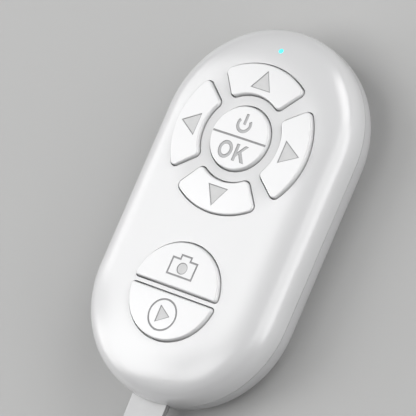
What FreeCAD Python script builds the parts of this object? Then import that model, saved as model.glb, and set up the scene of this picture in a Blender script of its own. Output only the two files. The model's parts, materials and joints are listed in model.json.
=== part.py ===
import FreeCAD, Part
import math
import os

from FreeCAD import Vector

# A pocket remote that fires a phone's camera over a wireless link.
# Millimetres. +Z points out of the keys, +Y to the end with the light, +X to the right.
# The origin lies under the middle of the body, in the plane of its flat back.

# Keys: each outline runs along the middle of the gap between key and casing
CENTRE_KEY_RADIUS = 5.55
ARC_KEY_INNER = 7.38
ARC_KEY_OUTER = 12.93
ARC_KEY_HALF_ANGLE = 38.0
ARC_KEY_CORNER = 1.0
HALF_KEY_RADIUS = 8.31
HALF_KEY_BAR = 0.83           # bar of the casing between the two half round keys
HALF_KEY_CORNER = 0.6
KEY_GAP = 0.22
KEY_PROUD = 0.73              # height of a key above the casing
KEY_CROWN_RADIUS = 180.0
KEY_DRAFT = 0.14              # how far the side draws in over the height above the casing
KEY_EDGE_ROUNDING = 0.24
KEY_TRAVEL = 0.3
KEY_SIDE_WALL = 0.9
KEY_ROOF = 1.3
LIP_WIDTH = 0.65              # lip of a key, reaching under the casing
LIP_WIDTH_AT_BAR = 0.2
LIP_THICKNESS = 0.8
LIP_CLEARANCE = 0.08
LIP_SIDE_CLEARANCE = 0.2
POST_RADIUS = 1.1
POST_LENGTH = 0.92
ENGRAVING_DEPTH = 0.15
GROOVE_WIDTH = 0.36

# Places of the clusters, from the centres of the body's two round ends
PAD_BELOW_END_CENTRE = 2.33
PAIR_BELOW_END_CENTRE = 0.7
PAD_TO_PAIR = 26.77
LIGHT_FROM_TIP = 4.62
PAD_MARGIN = 5.07             # from the arc keys to the sides of the body

# Casing
WALL = 1.4
FACE_WALL = 1.8               # over the key lips, at the middle
FLOOR = 1.6
PARTING_HEIGHT = 5.4
LEVEL_HALF_WIDTH = 2.5        # half width of the level strip along the middle of the face
FACE_POWER = 3.39             # how square the shoulder of the face is
BACK_SHOULDER = 6.1
BACK_POWER = 2.8
SEAM_HEIGHT = 0.12
SEAM_DEPTH = 0.25
TONGUE_WIDTH = 0.6
TONGUE_HEIGHT = 1.0
TONGUE_CLEARANCE = 0.05
TONGUE_TOP_CLEARANCE = 0.1
CATCH_DEPTH = 0.22
CATCH_LENGTH = 5.0
CATCH_HEIGHT = 0.35
CATCH_SPACING = 16.0
KEY_PEG_RADIUS = 0.38
KEY_PEG_CLEARANCE = 0.07

# Cell and its door
CELL_DIAMETER = 20.0
CELL_HEIGHT = 3.2
CELL_CAP_DIAMETER = 17.2
CELL_CAP_HEIGHT = 0.3
CELL_RIM_ROUNDING = 0.3
DOOR_RECESS = 0.1
DOOR_FLANGE_THICKNESS = 0.75
DOOR_NECK_MARGIN = 1.0        # wall of the door's cup, outside the cell
DOOR_LEDGE = 1.0
DOOR_RADIAL_CLEARANCE = 0.15
DOOR_FACE_CLEARANCE = 0.05
DOOR_TURN = 35.0
DOOR_RIB_HEIGHT = 0.15
DOOR_RIB_RADIUS = 7.0
DOOR_RIB_WIDTH = 1.0
LUG_COUNT = 3
LUG_ANGLE = 24.0
LUG_NOTCH_ANGLE = 28.0
LUG_THICKNESS = 0.6
COIN_SLOT_LENGTH = 14.0
COIN_SLOT_WIDTH = 1.8
COIN_SLOT_DEPTH = 0.6
MARK_RADIUS = 0.45
MARK_DEPTH = 0.2

# Cradle and contacts
CRADLE_CLEARANCE = 0.25
CRADLE_WALL = 1.35
CRADLE_WINDOW = 5.0
CRADLE_LIFT = 0.15
CONTACT_THICKNESS = 0.2
CONTACT_WIDTH = 4.0
SIDE_CONTACT_FOOT = 2.2
SIDE_CONTACT_CLEARANCE = 0.03
ARM_CONTACT_PLATE = 6.0
ARM_CONTACT_REACH = 3.6
ARM_CONTACT_WIDTH = 3.0

# Board and what is on it
BOARD_ABOVE_CELL = 0.55
BOARD_THICKNESS = 1.0
BOARD_EDGE_GAP = 1.0
SWITCH_SIDE = 4.6
SWITCH_HEIGHT = 1.1
SWITCH_FLOOR = 0.3
SWITCH_WELL_RADIUS = 1.85
SWITCH_COVER_THICKNESS = 0.2
STEM_RADIUS = 0.95
STEM_COLLAR_RADIUS = 1.5
STEM_COLLAR_THICKNESS = 0.3
STEM_COLLAR_GAP = 0.05
STEM_PROUD = 0.5
STEM_HOLE_CLEARANCE = 0.1
DOME_RADIUS = 1.75
DOME_THICKNESS = 0.1
DOME_GAP = 0.03
CHIP_SIDE = 5.0
CHIP_HEIGHT = 0.85
CHIP_X = -1.0
CRYSTAL_LENGTH = 3.2
CRYSTAL_WIDTH = 2.5
CRYSTAL_HEIGHT = 0.7
CRYSTAL_ROUNDING = 0.3
CRYSTAL_X = 5.6
SMALL_PART_LENGTH = 1.0
SMALL_PART_WIDTH = 0.5
SMALL_PART_PITCH = 1.7
SMALL_PART_ROWS = 2
SMALL_PARTS_PER_ROW = 4
TRACE_WIDTH = 0.5
TRACE_THICKNESS = 0.1
TRACE_PITCH = 1.6
TRACE_HEIGHT = 2.4
TRACE_TURNS = 5

# Light
WINDOW_RADIUS = 0.4
WINDOW_CLEARANCE = 0.02
GUIDE_RADIUS = 0.95
GUIDE_SOCKET_WALL = 0.8
GUIDE_ABOVE_LIGHT = 0.1
LIGHT_LENGTH = 1.6
LIGHT_WIDTH = 0.8
LIGHT_HEIGHT = 0.7

# Screws that hold the board to the face
SCREW_RADIUS = 0.7
SCREW_HEAD_RADIUS = 1.25
SCREW_HEAD_HEIGHT = 0.8
SCREW_CROSS_LENGTH = 1.5
SCREW_CROSS_WIDTH = 0.3
SCREW_CROSS_DEPTH = 0.35
SCREW_LENGTH = 3.4
SCREW_BORE_CLEARANCE = 0.04
SCREW_BOARD_CLEARANCE = 0.2
SCREW_TIP_GAP = 0.15
BOSS_RADIUS = 1.5
PAD_SCREW_MARGIN = 0.8
PAD_SCREW_ANGLE = 32.5
PAIR_SCREW_MARGIN = 2.4
PAIR_SCREW_ANGLE = 116.0
REST_POST_RADIUS = 1.2
REST_POST_Y = -4.0

# Wrist strap: a band folded round a pin in the end opposite the light
STRAP_WIDTH = 7.1
STRAP_PLY = 0.62
STRAP_PLY_GAP = 0.06
STRAP_ABOVE_PARTING = 0.28    # middle of the two plies, where they leave the body
SLOT_CLEARANCE = 0.15
PIN_RADIUS = 0.75
PIN_LENGTH = 11.6
PIN_FROM_TIP = 3.8
PIN_CLEARANCE = 0.03
FOLD_CLEARANCE = 0.1
SADDLE_WIDTH = 1.4
SADDLE_DEPTH = 2.6
SADDLE_GAP = 0.3
BOARD_FROM_FOLD = 1.4
TWIST_START = 7.0
TWIST_END = 34.0
ARC_STEP = 8.0                # degrees of bend between two sections of the band
LOOP_ABOVE_SURFACE = 0.1
STRAP_ROUTE = [               # x, distance past the body's tip, share of the fall to the surface
    (0.0, -2.0, 0.0),
    (0.0, 7.3, 0.0),
    (2.2, 18.3, 0.35),
    (9.0, 32.3, 0.81),
    (18.0, 49.3, 1.0),
    (24.0, 70.3, 1.0),
    (24.6, 93.2, 1.0),
    (10.6, 109.7, 1.0),
    (-10.9, 110.0, 1.0),
    (-25.2, 95.2, 1.0),
    (-24.9, 72.3, 1.0),
    (-18.8, 50.3, 1.0),
    (-9.2, 32.8, 0.79),
    (-2.2, 18.3, 0.32),
    (0.0, 7.3, 0.0),
    (0.0, -2.0, 0.0),
]

# Heights, worked out from the back upwards
DOOR_OUTER_FACE = DOOR_RECESS
LEDGE_BOTTOM = DOOR_RECESS + DOOR_FLANGE_THICKNESS + DOOR_FACE_CLEARANCE
LUG_BOTTOM = FLOOR + DOOR_FACE_CLEARANCE
LUG_TOP = LUG_BOTTOM + LUG_THICKNESS
CELL_BOTTOM = FLOOR + DOOR_RIB_HEIGHT
CELL_TOP = CELL_BOTTOM + CELL_HEIGHT
BOARD_BOTTOM = CELL_TOP + BOARD_ABOVE_CELL
BOARD_TOP = BOARD_BOTTOM + BOARD_THICKNESS
WELL_FLOOR = BOARD_TOP + SWITCH_FLOOR
SWITCH_TOP = BOARD_TOP + SWITCH_HEIGHT
COVER_TOP = SWITCH_TOP + SWITCH_COVER_THICKNESS
STEM_TOP = COVER_TOP + STEM_PROUD
COLLAR_TOP = SWITCH_TOP - STEM_COLLAR_GAP
COLLAR_BOTTOM = COLLAR_TOP - STEM_COLLAR_THICKNESS
DOME_RISE = COLLAR_BOTTOM - DOME_GAP - WELL_FLOOR
LIP_BOTTOM = STEM_TOP + POST_LENGTH
LIP_TOP = LIP_BOTTOM + LIP_THICKNESS
CEILING = LIP_TOP + LIP_CLEARANCE
BODY_HEIGHT = CEILING + FACE_WALL
KEY_APEX = BODY_HEIGHT + KEY_PROUD
HOLLOW_TOP = KEY_APEX - KEY_ROOF

# Plan sizes, worked out from the clusters
END_RADIUS = ARC_KEY_OUTER + PAD_MARGIN
END_SPACING = PAD_TO_PAIR + PAD_BELOW_END_CENTRE - PAIR_BELOW_END_CENTRE
END_Y = END_SPACING / 2
BODY_TIP = END_Y + END_RADIUS
PAD_Y = END_Y - PAD_BELOW_END_CENTRE
PAIR_Y = -END_Y - PAIR_BELOW_END_CENTRE
LIGHT_Y = BODY_TIP - LIGHT_FROM_TIP
ARC_KEY_MIDDLE = (ARC_KEY_INNER + ARC_KEY_OUTER) / 2
HALF_KEY_MIDDLE = 0.48 * HALF_KEY_RADIUS
BOARD_RADIUS = END_RADIUS - WALL - BOARD_EDGE_GAP
CELL_RADIUS = CELL_DIAMETER / 2
NECK_RADIUS = CELL_RADIUS + DOOR_NECK_MARGIN
DOOR_RADIUS = NECK_RADIUS + DOOR_LEDGE
LUG_RADIUS = DOOR_RADIUS - DOOR_RADIAL_CLEARANCE
PIN_Y = PIN_FROM_TIP - BODY_TIP
STRAP_Z = PARTING_HEIGHT + STRAP_ABOVE_PARTING
UPPER_PLY_Z = STRAP_Z + (STRAP_PLY_GAP + STRAP_PLY) / 2
LOWER_PLY_Z = STRAP_Z - (STRAP_PLY_GAP + STRAP_PLY) / 2
LOOP_Z = LOOP_ABOVE_SURFACE + STRAP_WIDTH / 2
FOLD_INNER = PIN_RADIUS + FOLD_CLEARANCE
FOLD_OUTER = FOLD_INNER + STRAP_PLY
BOARD_END_Y = PIN_Y + FOLD_OUTER + BOARD_FROM_FOLD

# Reaches past everything, for cutting tools
FAR = 4 * BODY_TIP


# Basic shapes

def box(x_low, x_high, y_low, y_high, z_low, z_high):
    corner = Vector(x_low, y_low, z_low)
    return Part.makeBox(x_high - x_low, y_high - y_low, z_high - z_low, corner)


def block(x, y, length, width, z_low, z_high):
    """Box centred on x, y."""
    return box(x - length / 2, x + length / 2, y - width / 2, y + width / 2, z_low, z_high)


def disc(x, y, radius, z_low, z_high):
    return Part.makeCylinder(radius, z_high - z_low, Vector(x, y, z_low))


def tube(x, y, inner, outer, z_low, z_high):
    return disc(x, y, outer, z_low, z_high).cut(disc(x, y, inner, z_low, z_high))


def prism(points, z_low, z_high):
    """Upright prism over a polygon given as x, y pairs."""
    corners = [Vector(x, y, z_low) for x, y in points]
    face = Part.Face(Part.makePolygon(corners + corners[:1]))
    return face.extrude(Vector(0, 0, z_high - z_low))


def sector(inner, outer, middle_angle, width_angle, z_low, z_high):
    """Piece of a ring about the Z axis; angles in degrees."""
    ring = tube(0, 0, inner, outer, z_low, z_high)
    start = middle_angle - width_angle / 2
    reach = 2 * outer
    points = [(0, 0)]
    for step in range(3):
        angle = math.radians(start + width_angle * step / 2)
        points.append((reach * math.cos(angle), reach * math.sin(angle)))
    return ring.common(prism(points, z_low, z_high))


def join(shapes):
    return shapes[0].multiFuse(shapes[1:]).removeSplitter()


def cut_all(shape, tools):
    for tool in tools:
        shape = shape.cut(tool)
    return shape


def turned(shape, angle):
    return shape.rotated(Vector(0, 0, 0), Vector(0, 0, 1), angle)


def moved(shape, x, y, z=0):
    return shape.translated(Vector(x, y, z))


def upright_edges(shape):
    edges = []
    for edge in shape.Edges:
        ends = [vertex.Point for vertex in edge.Vertexes]
        if len(ends) == 2 and math.hypot(ends[0].x - ends[1].x, ends[0].y - ends[1].y) < 1e-6:
            edges.append(edge)
    return edges


def polar(radius, angle_from_y):
    angle = math.radians(angle_from_y)
    return radius * math.sin(angle), radius * math.cos(angle)


# Body form: an oval with round ends whose edge falls along a squared curve

def edge_curve(level_radius, level_z, side_radius, side_z, power):
    """Quarter of a squared oval from the level face out to the upright side."""
    points = []
    steps = 10
    for step in range(steps + 1):
        angle = math.pi / 2 * step / steps
        out = math.sin(angle) ** (2 / power)
        up = math.cos(angle) ** (2 / power)
        points.append(Vector(level_radius + (side_radius - level_radius) * out, 0,
                             side_z + (level_z - side_z) * up))
    curve = Part.BSplineCurve()
    side_direction = Vector(0, 0, side_z - level_z).normalize()
    curve.interpolate(Points=points, InitialTangent=Vector(1, 0, 0), FinalTangent=side_direction)
    return curve.toShape(), points[0], points[-1]


def oval_form(level_radius, level_z, side_radius, side_z, power):
    """Solid between the plane at side_z and the crowned face at level_z."""
    curve, inner_end, outer_end = edge_curve(level_radius, level_z, side_radius, side_z, power)
    axis_face = Vector(0, 0, level_z)
    axis_side = Vector(0, 0, side_z)
    outline = [
        Part.makeLine(axis_face, inner_end),
        curve,
        Part.makeLine(outer_end, axis_side),
        Part.makeLine(axis_side, axis_face),
    ]
    right = Part.Face(Part.Wire(outline))
    left = right.mirror(Vector(0, 0, 0), Vector(1, 0, 0))
    end = right.revolve(Vector(0, 0, 0), Vector(0, 0, 1), 180)
    run = Vector(0, END_SPACING, 0)
    return join([
        moved(end, 0, END_Y),
        moved(turned(end, 180), 0, -END_Y),
        moved(right.extrude(run), 0, -END_Y),
        moved(left.extrude(run), 0, -END_Y),
    ])


def oval_prism(radius, z_low, z_high):
    """Upright oval, with its round ends about the body's end centres."""
    straight = box(-radius, radius, -END_Y, END_Y, z_low, z_high)
    return join([
        straight,
        disc(0, END_Y, radius, z_low, z_high),
        disc(0, -END_Y, radius, z_low, z_high),
    ])


def oval_ring(inner, outer, z_low, z_high):
    return oval_prism(outer, z_low, z_high).cut(oval_prism(inner, z_low, z_high))


def face_form():
    return oval_form(LEVEL_HALF_WIDTH, BODY_HEIGHT, END_RADIUS, PARTING_HEIGHT, FACE_POWER)


def face_hollow():
    level = BODY_HEIGHT - WALL
    form = oval_form(LEVEL_HALF_WIDTH, level, END_RADIUS - WALL, PARTING_HEIGHT, FACE_POWER)
    return form.common(box(-FAR, FAR, -FAR, FAR, PARTING_HEIGHT, CEILING))


def back_form():
    return oval_form(END_RADIUS - BACK_SHOULDER, 0, END_RADIUS, PARTING_HEIGHT, BACK_POWER)


def back_hollow():
    level_radius = END_RADIUS - BACK_SHOULDER
    return oval_form(level_radius, FLOOR, END_RADIUS - WALL, PARTING_HEIGHT, BACK_POWER)


# Key outlines, grown or shrunk by a margin on every side, about their own centre

def centre_outline(margin, z_low, z_high):
    return disc(0, 0, CENTRE_KEY_RADIUS + margin, z_low, z_high)


def arc_outline(margin, z_low, z_high):
    """Arc key that points along +Y, about the centre of the pad."""
    outer = ARC_KEY_OUTER + margin
    ring = tube(0, 0, ARC_KEY_INNER - margin, outer, z_low, z_high)
    half = math.radians(ARC_KEY_HALF_ANGLE)
    apex_y = -margin / math.sin(half)
    reach = 3 * outer
    side_x = reach * math.sin(half)
    side_y = apex_y + reach * math.cos(half)
    wedge = prism([(0, apex_y), (side_x, side_y), (-side_x, side_y)], z_low, z_high)
    shape = ring.common(wedge)
    return rounded(shape, ARC_KEY_CORNER + margin)


def half_outline(margin, z_low, z_high, bar_margin=None):
    """Half round key on the +Y side of the bar, about the centre of the pair."""
    if bar_margin is None:
        bar_margin = margin
    radius = HALF_KEY_RADIUS + margin
    side = HALF_KEY_BAR / 2 - bar_margin
    shape = disc(0, 0, radius, z_low, z_high)
    shape = shape.common(box(-FAR, FAR, side, FAR, z_low, z_high))
    return rounded(shape, HALF_KEY_CORNER + margin)


def half_lip_outline(margin, z_low, z_high):
    return half_outline(margin, z_low, z_high, min(margin, LIP_WIDTH_AT_BAR))


def rounded(shape, radius):
    """Rounds the upright corners, where the margin leaves them a radius."""
    if radius < 0.1:
        return shape
    return shape.makeFillet(radius, upright_edges(shape))


# Signs on the keys, cut into their tops: x, y are from the key's own centre

def ring_sign(x, y, radius, stroke, z_low, z_high):
    return tube(x, y, radius - stroke / 2, radius + stroke / 2, z_low, z_high)


def arrow_sign(z_low, z_high):
    half_base = 1.97
    base_y = 8.47
    tip_y = 11.85
    return [prism([(-half_base, base_y), (half_base, base_y), (0, tip_y)], z_low, z_high)]


def power_sign(z_low, z_high):
    """Broken ring with a bar through the break."""
    ring_y = 2.25
    radius = 1.18
    stroke = 0.55
    ring = ring_sign(0, ring_y, radius, stroke, z_low, z_high)
    break_half = math.radians(55)
    reach = 3 * radius
    side_x = reach * math.sin(break_half)
    side_y = ring_y + reach * math.cos(break_half)
    opening = prism([(0, ring_y), (side_x, side_y), (-side_x, side_y)], z_low, z_high)
    bar = block(0, ring_y + 0.91, stroke, 1.84, z_low, z_high)
    return [ring.cut(opening), bar]


def ok_sign(z_low, z_high):
    """The word OK in plain strokes."""
    stroke = 0.6
    letter_y = -2.44
    bowl_x = -1.5
    bowl_half_width = 1.37
    bowl_half_height = 1.5
    stem_left = 0.28
    stem_right = stem_left + stroke
    low = letter_y - 1.44
    high = letter_y + 1.44
    outer = oval_letter(bowl_x, letter_y, bowl_half_width, bowl_half_height, z_low, z_high)
    inner = oval_letter(bowl_x, letter_y, bowl_half_width - stroke, bowl_half_height - stroke,
                        z_low, z_high)
    k_outline = [
        (stem_left, low), (stem_right, low), (stem_right, low + 0.72), (1.22, low + 1.2),
        (2.0, low), (2.75, low), (1.64, low + 1.7), (2.62, high), (1.9, high),
        (stem_right, low + 1.53), (stem_right, high), (stem_left, high),
    ]
    return [outer.cut(inner), prism(k_outline, z_low, z_high)]


def oval_letter(x, y, half_width, half_height, z_low, z_high):
    curve = Part.Ellipse(Vector(0, 0, 0), half_height, half_width)
    face = Part.Face(Part.Wire(curve.toShape()))
    upright = face.extrude(Vector(0, 0, z_high - z_low))
    return moved(turned(upright, 90), x, y, z_low)


def groove_sign(z_low, z_high):
    reach = CENTRE_KEY_RADIUS * 2
    return [block(0, 0, reach, GROOVE_WIDTH, z_low, z_high)]


def camera_sign(z_low, z_high):
    """Outline of a camera with a filled lens."""
    stroke = 0.32
    half_width = 2.57
    hump_half_width = 1.12
    low = 2.26
    shoulder = 5.36
    top = 6.07
    middle_y = 3.8
    right_side = [(half_width, low), (half_width, shoulder), (hump_half_width, shoulder),
                  (hump_half_width, top)]
    outline = right_side + [(-x, y) for x, y in reversed(right_side)]
    inside = []
    for x, y in outline:
        inside.append((x - math.copysign(stroke, x), y - math.copysign(stroke, y - middle_y)))
    frame = prism(outline, z_low, z_high).cut(prism(inside, z_low, z_high))
    return [frame, disc(0, middle_y, 1.0, z_low, z_high)]


def play_sign(z_low, z_high):
    """Ring with a filled triangle; drawn for the key below the bar."""
    centre_y = -4.2
    ring = ring_sign(0, centre_y, 2.57, 0.32, z_low, z_high)
    triangle = prism([(-0.94, centre_y - 1.5), (1.48, centre_y), (-0.94, centre_y + 1.5)],
                     z_low, z_high)
    return [ring, triangle]


# Keys

def key_ball(lowered=0):
    """Large ball whose top is the crown of the keys."""
    centre = Vector(0, 0, KEY_APEX - KEY_CROWN_RADIUS - lowered)
    return Part.makeSphere(KEY_CROWN_RADIUS, centre, Vector(1, 0, 0))


def outline_wire(outline, margin, z):
    """Closed wire of a key outline at one height."""
    solid = outline(margin, z, z + 1)
    floor = min(solid.Faces, key=lambda face: face.CenterOfMass.z)
    return floor.OuterWire


def cap_form(outline):
    """Upright up to the face of the casing, then drawn in by the draft, under the crown."""
    margin = -KEY_GAP / 2
    reach = 2 * KEY_PROUD
    lower = outline(margin, LIP_BOTTOM, BODY_HEIGHT)
    wires = [outline_wire(outline, margin, BODY_HEIGHT),
             outline_wire(outline, margin - 2 * KEY_DRAFT, BODY_HEIGHT + reach)]
    upper = Part.makeLoft(wires, True, True)
    return lower.fuse(upper).common(key_ball())


def top_edges(shape):
    """Edges where the crown meets the sides of a cap."""
    return [edge for edge in shape.Edges if edge.BoundBox.ZMin > BODY_HEIGHT + KEY_PROUD / 10]


def key(outline, lip_outline, angle, post_y, signs):
    """Key about its cluster's centre: a crowned cap, a lip under the casing and a post."""
    cap = cap_form(outline)
    cap = cap.makeFillet(KEY_EDGE_ROUNDING, top_edges(cap))
    lip = lip_outline(LIP_WIDTH, LIP_BOTTOM, LIP_TOP)
    hollow = outline(-KEY_GAP / 2 - KEY_SIDE_WALL, LIP_BOTTOM - 1, HOLLOW_TOP)
    post = disc(0, post_y, POST_RADIUS, STEM_TOP, HOLLOW_TOP + KEY_ROOF / 2)
    body = join([cap, lip]).cut(hollow)
    body = join([body, post])
    body = turned(body, angle)
    floor = key_ball(ENGRAVING_DEPTH)
    for sign in signs:
        body = body.cut(sign.cut(floor))
    return body


def sign_shapes(drawer, angle=0):
    low = KEY_APEX - 2 * KEY_PROUD
    return [turned(shape, angle) for shape in drawer(low, KEY_APEX + 1)]


def arc_key(angle):
    return key(arc_outline, arc_outline, angle, ARC_KEY_MIDDLE, sign_shapes(arrow_sign, angle))


def centre_key():
    signs = sign_shapes(groove_sign) + sign_shapes(power_sign) + sign_shapes(ok_sign)
    body = key(centre_outline, centre_outline, 0, 0, signs)
    for x, y in peg_places():
        peg_hole = disc(x, y, KEY_PEG_RADIUS + KEY_PEG_CLEARANCE, LIP_BOTTOM - 1, LIP_TOP + 1)
        body = body.cut(peg_hole)
    return body


def peg_places():
    """Pegs in two of the webs between the arc keys keep the round key from turning."""
    radius = CENTRE_KEY_RADIUS + LIP_WIDTH
    return [polar(radius, 45), polar(radius, 225)]


def switch_places():
    """Node name ending and place of each key's switch."""
    return {
        "up": (0, PAD_Y + ARC_KEY_MIDDLE),
        "left": (-ARC_KEY_MIDDLE, PAD_Y),
        "down": (0, PAD_Y - ARC_KEY_MIDDLE),
        "right": (ARC_KEY_MIDDLE, PAD_Y),
        "ok": (0, PAD_Y),
        "shutter": (0, PAIR_Y + HALF_KEY_MIDDLE),
        "play": (0, PAIR_Y - HALF_KEY_MIDDLE),
    }


def keys():
    half_post = HALF_KEY_MIDDLE
    return {
        "key_up": moved(arc_key(0), 0, PAD_Y),
        "key_left": moved(arc_key(90), 0, PAD_Y),
        "key_down": moved(arc_key(180), 0, PAD_Y),
        "key_right": moved(arc_key(270), 0, PAD_Y),
        "key_ok": moved(centre_key(), 0, PAD_Y),
        "key_shutter": moved(key(half_outline, half_lip_outline, 0, half_post,
                                 sign_shapes(camera_sign)), 0, PAIR_Y),
        "key_play": moved(key(half_outline, half_lip_outline, 180, half_post,
                              sign_shapes(play_sign)), 0, PAIR_Y),
    }


def key_openings():
    margin = KEY_GAP / 2
    low = CEILING - 1
    high = BODY_HEIGHT + 1
    openings = [moved(centre_outline(margin, low, high), 0, PAD_Y)]
    for quarter in range(4):
        openings.append(moved(turned(arc_outline(margin, low, high), 90 * quarter), 0, PAD_Y))
    for half_turn in range(2):
        opening = turned(half_outline(margin, low, high), 180 * half_turn)
        openings.append(moved(opening, 0, PAIR_Y))
    return openings


def lip_pockets():
    """Room for the lips of the arc keys, where they reach into the shoulder of the casing."""
    margin = LIP_WIDTH + LIP_SIDE_CLEARANCE
    low = LIP_BOTTOM - 2 * KEY_TRAVEL
    return [moved(turned(arc_outline(margin, low, CEILING), 90 * quarter), 0, PAD_Y)
            for quarter in range(4)]


# Casing

def screw_places():
    pad_radius = ARC_KEY_OUTER + LIP_WIDTH + PAD_SCREW_MARGIN + BOSS_RADIUS
    pair_radius = HALF_KEY_RADIUS + LIP_WIDTH + PAIR_SCREW_MARGIN + BOSS_RADIUS
    places = []
    for side in (-1, 1):
        x, y = polar(pad_radius, side * PAD_SCREW_ANGLE)
        places.append((x, PAD_Y + y))
        x, y = polar(pair_radius, side * PAIR_SCREW_ANGLE)
        places.append((x, PAIR_Y + y))
    return places


def strap_slot():
    half_width = STRAP_WIDTH / 2 + SLOT_CLEARANCE
    half_height = STRAP_PLY + STRAP_PLY_GAP / 2 + SLOT_CLEARANCE
    return box(-half_width, half_width, -BODY_TIP - 1, PIN_Y,
               STRAP_Z - half_height, STRAP_Z + half_height)


def seam():
    outer = oval_prism(END_RADIUS + 1, PARTING_HEIGHT - SEAM_HEIGHT / 2,
                       PARTING_HEIGHT + SEAM_HEIGHT / 2)
    return outer.cut(oval_prism(END_RADIUS - SEAM_DEPTH, PARTING_HEIGHT - SEAM_HEIGHT / 2,
                                PARTING_HEIGHT + SEAM_HEIGHT / 2))


def catches(grow):
    """Four ridges that snap the shells together; grow is the clearance of their notches."""
    inner = END_RADIUS - WALL
    outer = inner + TONGUE_WIDTH + CATCH_DEPTH + grow
    middle = PARTING_HEIGHT + 0.6 * TONGUE_HEIGHT
    half_height = CATCH_HEIGHT / 2 + grow
    shapes = []
    for side in (-1, 1):
        for y in (-CATCH_SPACING / 2, CATCH_SPACING / 2):
            low, high = sorted((side * inner, side * outer))
            half_length = CATCH_LENGTH / 2 + grow
            shapes.append(box(low, high, y - half_length, y + half_length,
                              middle - half_height, middle + half_height))
    return shapes


def saddles(z_low, z_high):
    """Two blocks that hold the ends of the strap pin."""
    x = STRAP_WIDTH / 2 + SADDLE_GAP + SADDLE_WIDTH / 2
    hole = Part.makeCylinder(PIN_RADIUS + PIN_CLEARANCE, FAR, Vector(-FAR / 2, PIN_Y, STRAP_Z),
                             Vector(1, 0, 0))
    return [block(side * x, PIN_Y, SADDLE_WIDTH, SADDLE_DEPTH, z_low, z_high).cut(hole)
            for side in (-1, 1)]


def top_shell():
    form = face_form()
    shell = form.cut(face_hollow())
    bosses = [disc(x, y, BOSS_RADIUS, BOARD_TOP, CEILING + WALL / 2) for x, y in screw_places()]
    bosses += saddles(STRAP_Z, CEILING + WALL / 2)
    pegs = [disc(x, PAD_Y + y, KEY_PEG_RADIUS, LIP_BOTTOM, CEILING + FACE_WALL / 2)
            for x, y in peg_places()]
    socket = disc(0, LIGHT_Y, GUIDE_RADIUS + GUIDE_SOCKET_WALL, STEM_TOP, CEILING)
    inside = [shape.common(form) for shape in bosses + [socket]]
    shell = join([shell] + inside)
    bore = SCREW_RADIUS + SCREW_BORE_CLEARANCE
    bore_top = BOARD_BOTTOM + SCREW_LENGTH + SCREW_TIP_GAP
    tools = [disc(x, y, bore, BOARD_TOP - 1, bore_top) for x, y in screw_places()]
    tools += key_openings() + lip_pockets()
    groove_outer = END_RADIUS - WALL + TONGUE_WIDTH + TONGUE_CLEARANCE
    groove_top = PARTING_HEIGHT + TONGUE_HEIGHT + TONGUE_TOP_CLEARANCE
    tools.append(oval_ring(END_RADIUS - 2 * WALL, groove_outer, PARTING_HEIGHT - 1, groove_top))
    tools += catches(TONGUE_CLEARANCE)
    tools += [strap_slot(), seam()]
    tools.append(disc(0, LIGHT_Y, GUIDE_RADIUS + TONGUE_CLEARANCE, STEM_TOP - 1, guide_top()))
    tools.append(disc(0, LIGHT_Y, WINDOW_RADIUS + WINDOW_CLEARANCE, STEM_TOP, BODY_HEIGHT + 1))
    return join([cut_all(shell, tools)] + pegs)


def guide_top():
    return CEILING - LIP_CLEARANCE - LIP_THICKNESS / 2


def door_ring(radius_grow, z_low, z_high):
    return disc(0, 0, DOOR_RADIUS + radius_grow, z_low, z_high)


def lugs(turn, width_angle, outer, z_low, z_high):
    inner = NECK_RADIUS - DOOR_NECK_MARGIN / 2
    return [sector(inner, outer, turn + 360 / LUG_COUNT * lug, width_angle, z_low, z_high)
            for lug in range(LUG_COUNT)]


def bottom_shell():
    shell = back_form().cut(back_hollow())
    tongue_inner = END_RADIUS - WALL
    tongue_outer = tongue_inner + TONGUE_WIDTH
    tongue = oval_ring(tongue_inner, tongue_outer, PARTING_HEIGHT - SEAM_HEIGHT,
                       PARTING_HEIGHT + TONGUE_HEIGHT)
    post_x = BOARD_RADIUS - BOARD_EDGE_GAP - REST_POST_RADIUS
    posts = [disc(side * post_x, REST_POST_Y, REST_POST_RADIUS, FLOOR / 2, BOARD_BOTTOM)
             for side in (-1, 1)]
    shell = join([shell, tongue] + posts + catches(0) + saddles(FLOOR / 2, STRAP_Z))
    opening = disc(0, 0, NECK_RADIUS + DOOR_RADIAL_CLEARANCE, -1, FLOOR + 1)
    recess = door_ring(DOOR_RADIAL_CLEARANCE, -1, LEDGE_BOTTOM)
    notches = lugs(-DOOR_TURN, LUG_NOTCH_ANGLE, DOOR_RADIUS, 0, FLOOR + 1)
    mark = disc(0, DOOR_RADIUS + 4 * MARK_RADIUS, MARK_RADIUS, -1, MARK_DEPTH)
    return cut_all(shell, [opening, recess, strap_slot(), seam(), mark] + notches)


def battery_door():
    """Cup under the cell with a flange outside and three lugs that hook over the ledge."""
    flange = door_ring(0, DOOR_OUTER_FACE, LEDGE_BOTTOM - DOOR_FACE_CLEARANCE)
    cup = disc(0, 0, NECK_RADIUS, DOOR_OUTER_FACE, LUG_TOP)
    well = disc(0, 0, CELL_RADIUS + CRADLE_CLEARANCE, FLOOR, LUG_TOP + 1)
    door = join([flange, cup]).cut(well)
    rib = tube(0, 0, DOOR_RIB_RADIUS, DOOR_RIB_RADIUS + DOOR_RIB_WIDTH, FLOOR - 0.3, CELL_BOTTOM)
    hooks = lugs(0, LUG_ANGLE, LUG_RADIUS, LUG_BOTTOM, LUG_TOP)
    door = join([door, rib] + hooks)
    slot = block(0, 0, COIN_SLOT_LENGTH, COIN_SLOT_WIDTH, DOOR_OUTER_FACE - 1,
                 DOOR_OUTER_FACE + COIN_SLOT_DEPTH)
    slot = slot.makeFillet(COIN_SLOT_WIDTH / 2.1, upright_edges(slot))
    mark = disc(0, DOOR_RADIUS - 3 * MARK_RADIUS, MARK_RADIUS, -1, DOOR_OUTER_FACE + MARK_DEPTH)
    return cut_all(door, [slot, mark])


# Power

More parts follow.
